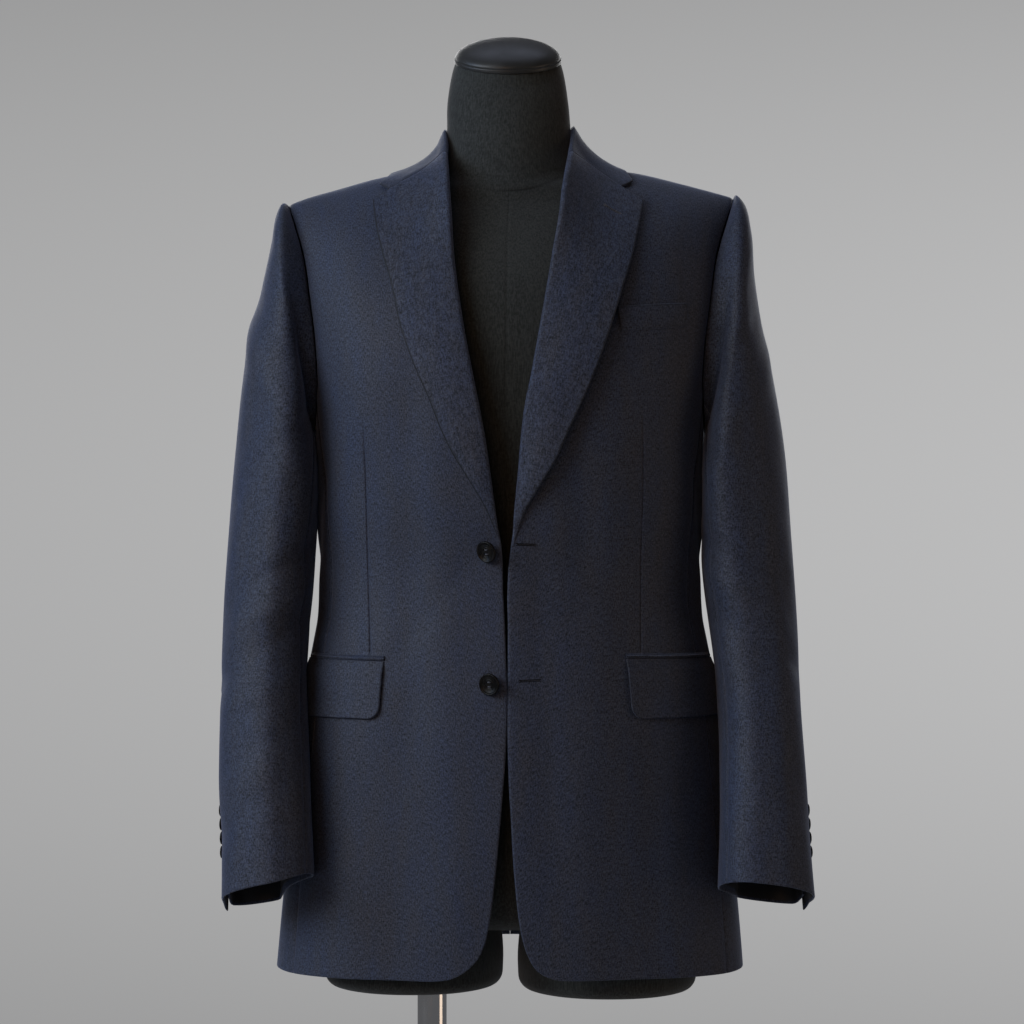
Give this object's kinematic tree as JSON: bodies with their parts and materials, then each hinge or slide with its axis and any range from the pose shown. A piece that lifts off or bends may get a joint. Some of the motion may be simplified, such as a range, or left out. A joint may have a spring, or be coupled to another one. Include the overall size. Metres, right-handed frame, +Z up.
{
  "type": "suit jacket of a two-piece suit on a limbless torso form",
  "caption": "Single-breasted notch-lapel suit jacket of dark sharkskin cloth, worn open on a black jersey torso form that stands on a chrome pole.",
  "frame": {"origin": "on the floor, at the centre of the base plate's underside", "axes": "+Z up, front of the jacket faces -Y, +X is the wearer's left"},
  "size_m": [0.5515, 0.38, 1.6158],
  "materials": {
    "suiting": "smooth worsted sharkskin in dark navy and grey, with a soft sheen",
    "button_horn": "polished dark horn",
    "form_jersey": "matt black jersey pulled tight",
    "cap_plastic": "satin dark grey",
    "chrome": "polished",
    "base_steel": "fine brushed"
  },
  "bodies": {
    "root": {"front_right": "suiting", "side_right": "suiting", "back_right": "suiting", "lapel_right": "suiting", "topsleeve_right": "suiting", "undersleeve_right": "suiting", "flap_right": "suiting", "jet_right": "suiting", "front_left": "suiting", "side_left": "suiting", "back_left": "suiting", "lapel_left": "suiting", "topsleeve_left": "suiting", "undersleeve_left": "suiting", "flap_left": "suiting", "jet_left": "suiting", "collar": "suiting", "breast_welt": "suiting", "cuff_button_right_1": "button_horn", "cuff_button_right_2": "button_horn", "cuff_button_right_3": "button_horn", "cuff_button_right_4": "button_horn", "cuff_button_left_1": "button_horn", "cuff_button_left_2": "button_horn", "cuff_button_left_3": "button_horn", "cuff_button_left_4": "button_horn", "front_button_upper": "button_horn", "front_button_lower": "button_horn", "form_torso": "form_jersey", "neck_cap": "cap_plastic", "pole": "chrome", "pole_flange": "chrome", "pole_socket": "chrome", "base_plate": "base_steel"}
  },
  "joints": []
}
